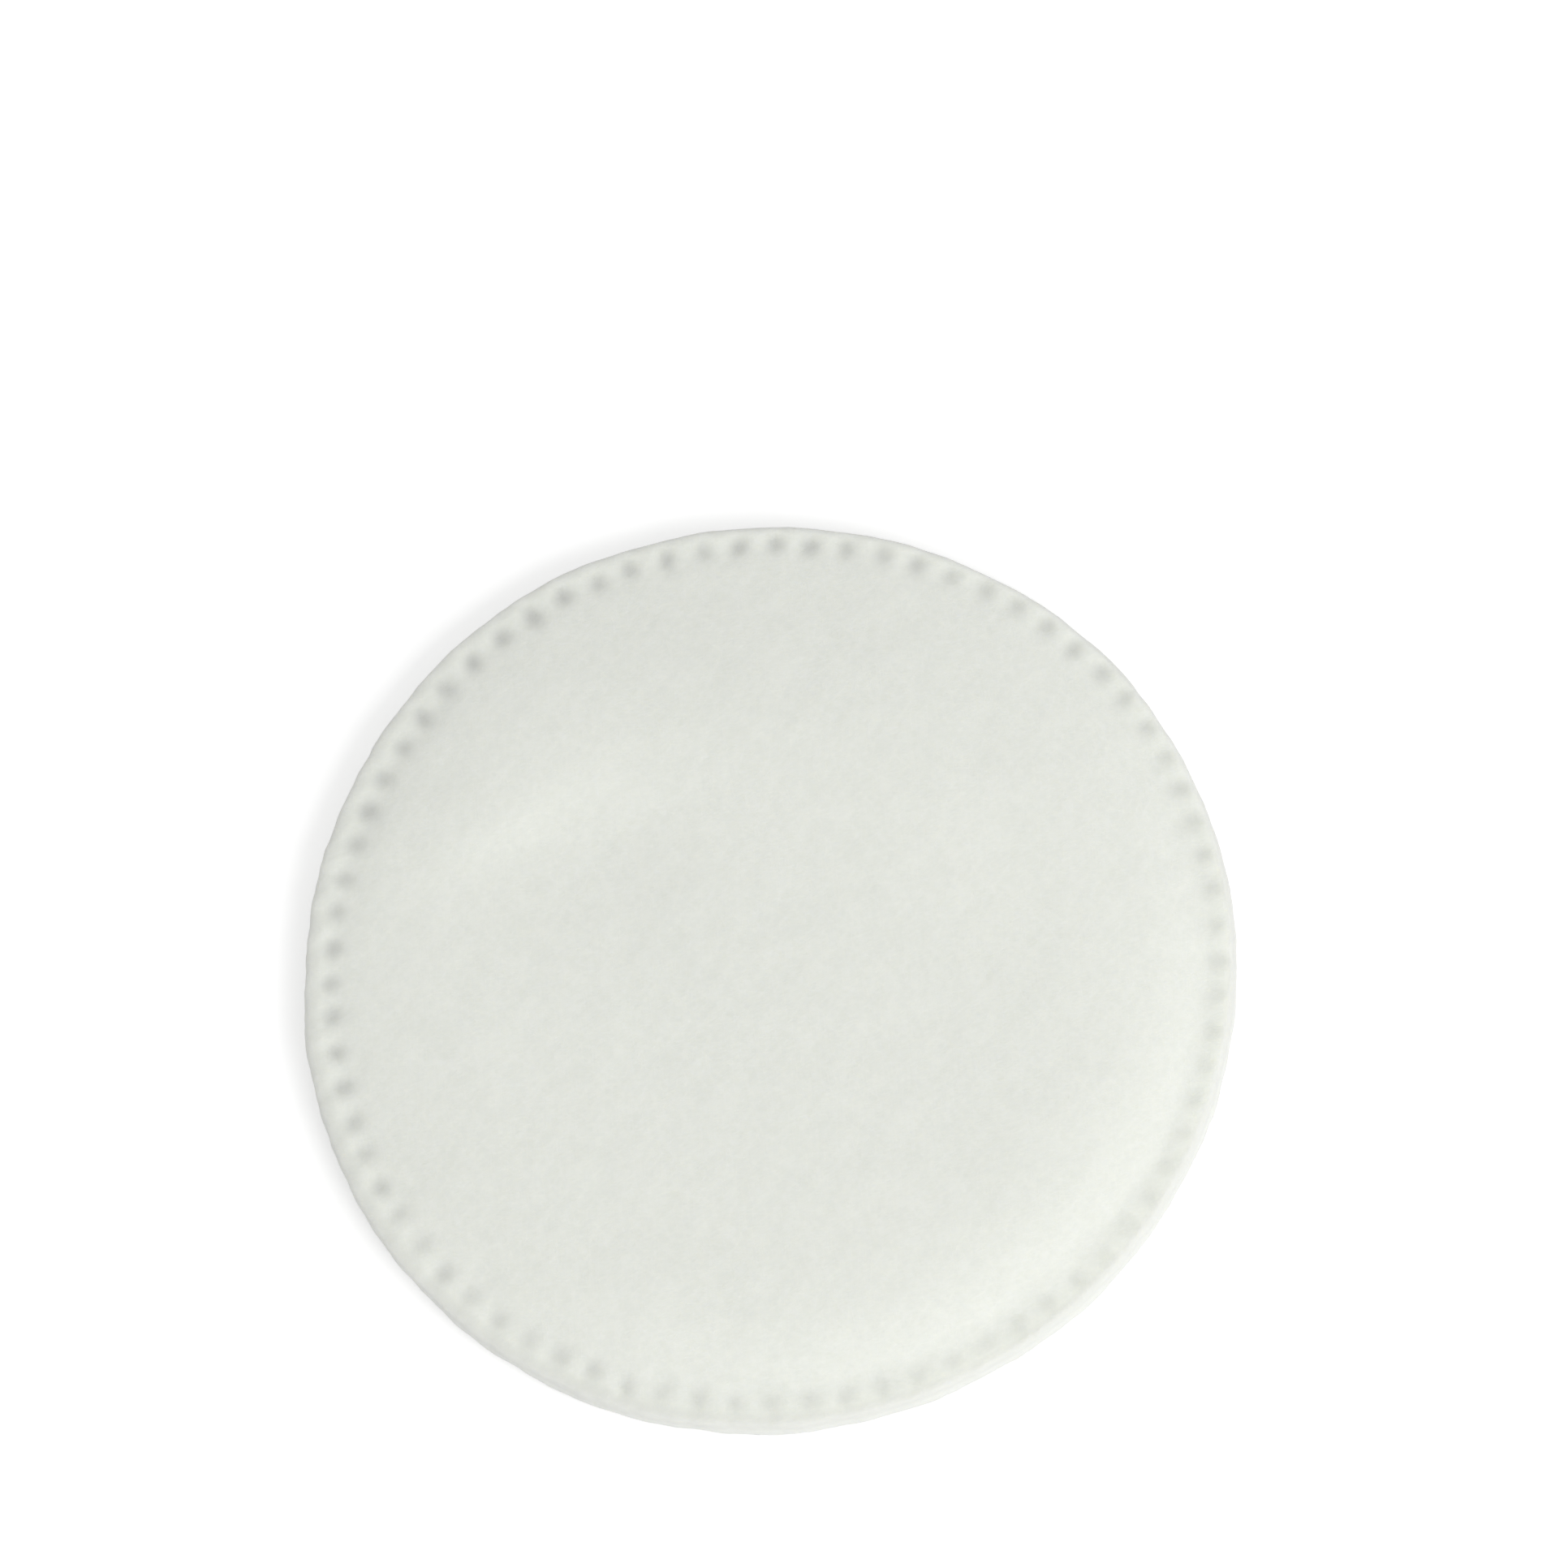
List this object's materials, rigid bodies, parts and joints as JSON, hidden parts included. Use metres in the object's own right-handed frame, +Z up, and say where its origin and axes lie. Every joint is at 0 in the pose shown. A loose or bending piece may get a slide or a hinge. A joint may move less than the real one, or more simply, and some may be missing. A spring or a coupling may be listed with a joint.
{
  "type": "cotton pad",
  "caption": "Round soft pad of pressed cotton fibre, gently crowned, with a ring of pressed pits just inside its rounded edge.",
  "frame": {"origin": "centre of the flat underside, on the surface that the pad lies on", "axes": "+Z up through the thickness, along the pad's axis; X and Y across it"},
  "size_m": [0.057, 0.057, 0.0044],
  "materials": {
    "cotton": "matt matted fibre"
  },
  "bodies": {
    "root": {"cotton_pad": "cotton"}
  },
  "joints": []
}
